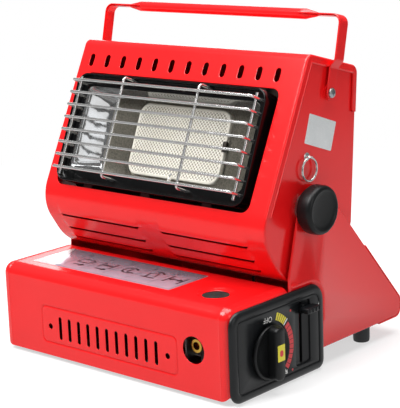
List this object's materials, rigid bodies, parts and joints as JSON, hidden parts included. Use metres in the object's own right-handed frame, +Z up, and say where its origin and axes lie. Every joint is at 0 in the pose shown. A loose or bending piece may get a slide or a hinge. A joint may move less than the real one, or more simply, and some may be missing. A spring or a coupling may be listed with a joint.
{
  "type": "portable propane heater",
  "caption": "Tabletop radiant gas heater: a wire-guarded ceramic burner head tilts between the wings of a sheet-metal base with a cartridge bay.",
  "frame": {"origin": "on the table, below the middle of the whole heater's box", "axes": "+X along the front towards the control panel, +Y to the rear, +Z up"},
  "size_m": [0.2976, 0.2406, 0.2981],
  "materials": {
    "red_paint": "glossy powder coat",
    "black_enamel": "satin enamel",
    "black_plastic": "fine satin",
    "bright_wire": "bright nickel or chrome plate",
    "polished_steel": "polished",
    "zinc_steel": "zinc plated",
    "cast_alloy": "as cast",
    "brass": "turned",
    "ceramic_plaque": "matt, perforated",
    "ceramic_white": "glazed",
    "fibre_seal": "matt fibre",
    "foot_rubber": "matt",
    "hose_rubber": "matt",
    "lead_sleeve": "silicone",
    "label_film": "silver film",
    "marker_yellow": "gloss"
  },
  "bodies": {
    "base": {"base_tray": "red_paint", "rear_cover": "red_paint", "right_wing": "red_paint", "left_wing": "red_paint", "bay_wall": "zinc_steel", "can_cradle": "zinc_steel", "gas_valve": "cast_alloy", "valve_socket": "brass", "gas_inlet": "brass", "igniter": "ceramic_white", "control_panel": "black_plastic", "cover_pins": "zinc_steel", "pivot_washers": "zinc_steel", "rear_feet": "foot_rubber", "front_feet": "foot_rubber", "yoke_guides": "zinc_steel", "gas_hose": "hose_rubber", "spark_lead": "lead_sleeve"},
    "cover": {"canister_cover": "red_paint", "label_plate": "label_film"},
    "head": {"head_shell": "red_paint", "head_right_side": "red_paint", "head_left_side": "red_paint", "head_back": "zinc_steel", "burner_frame": "black_enamel", "guard_bars": "bright_wire", "guard_legs": "bright_wire", "reflector": "polished_steel", "burner_box": "zinc_steel", "burner_plaque": "ceramic_plaque", "plaque_seal": "fibre_seal", "mixing_tube": "zinc_steel", "gas_jet": "brass", "burner_brackets": "zinc_steel", "spark_electrode": "ceramic_white", "pivot_bolts": "zinc_steel", "handle_screws": "zinc_steel", "ring_lug": "bright_wire", "side_label": "label_film"},
    "handle": {"handle": "red_paint"},
    "ring": {"ring": "bright_wire"},
    "right_tilt_knob": {"right_tilt_knob": "black_plastic"},
    "left_tilt_knob": {"left_tilt_knob": "black_plastic"},
    "gas_knob": {"gas_knob": "black_plastic", "knob_marker": "marker_yellow", "knob_shaft": "zinc_steel"},
    "lock_lever": {"lock_lever": "black_plastic"},
    "collar_yoke": {"collar_yoke": "zinc_steel"}
  },
  "joints": [
    {"name": "head_tilt", "type": "hinge", "parent": "base", "child": "head", "pos_m": [0, -0.01315, 0.141], "axis": [-1, 0, 0], "range_deg": [-26, 64], "deforming": ["gas_hose", "spark_lead"]},
    {"name": "handle_swing", "type": "hinge", "parent": "head", "child": "handle", "pos_m": [0, 0.02265, 0.2313], "axis": [1, 0, 0], "range_deg": [-95, 90]},
    {"name": "ring_swing", "type": "hinge", "parent": "head", "child": "ring", "pos_m": [0.13, -0.00765, 0.1819], "axis": [0, -1, 0], "range_deg": [-5, 100]},
    {"name": "cover_swing", "type": "hinge", "parent": "base", "child": "cover", "pos_m": [0, -0.11545, 0.0075], "axis": [1, 0, 0], "range_deg": [0, 90]},
    {"name": "right_tilt_knob_turn", "type": "hinge", "parent": "head", "child": "right_tilt_knob", "pos_m": [0.141, -0.01315, 0.141], "axis": [1, 0, 0], "range_deg": [0, 360]},
    {"name": "left_tilt_knob_turn", "type": "hinge", "parent": "head", "child": "left_tilt_knob", "pos_m": [-0.141, -0.01315, 0.141], "axis": [-1, 0, 0], "range_deg": [0, 360]},
    {"name": "gas_knob_turn", "type": "hinge", "parent": "base", "child": "gas_knob", "pos_m": [0.14, -0.07365, 0.0349], "axis": [1, 0, 0], "range_deg": [0, 150]},
    {"name": "lever_slide", "type": "slide", "parent": "base", "child": "lock_lever", "axis": [0, 0, -1], "range_m": [0, 0.042]},
    {"name": "yoke_slide", "type": "slide", "parent": "base", "child": "collar_yoke", "axis": [1, 0, 0], "range_m": [0, 0.006]}
  ],
  "couplings": [
    {"joint": "yoke_slide", "follows": "lever_slide", "ratio": 0.14286}
  ]
}
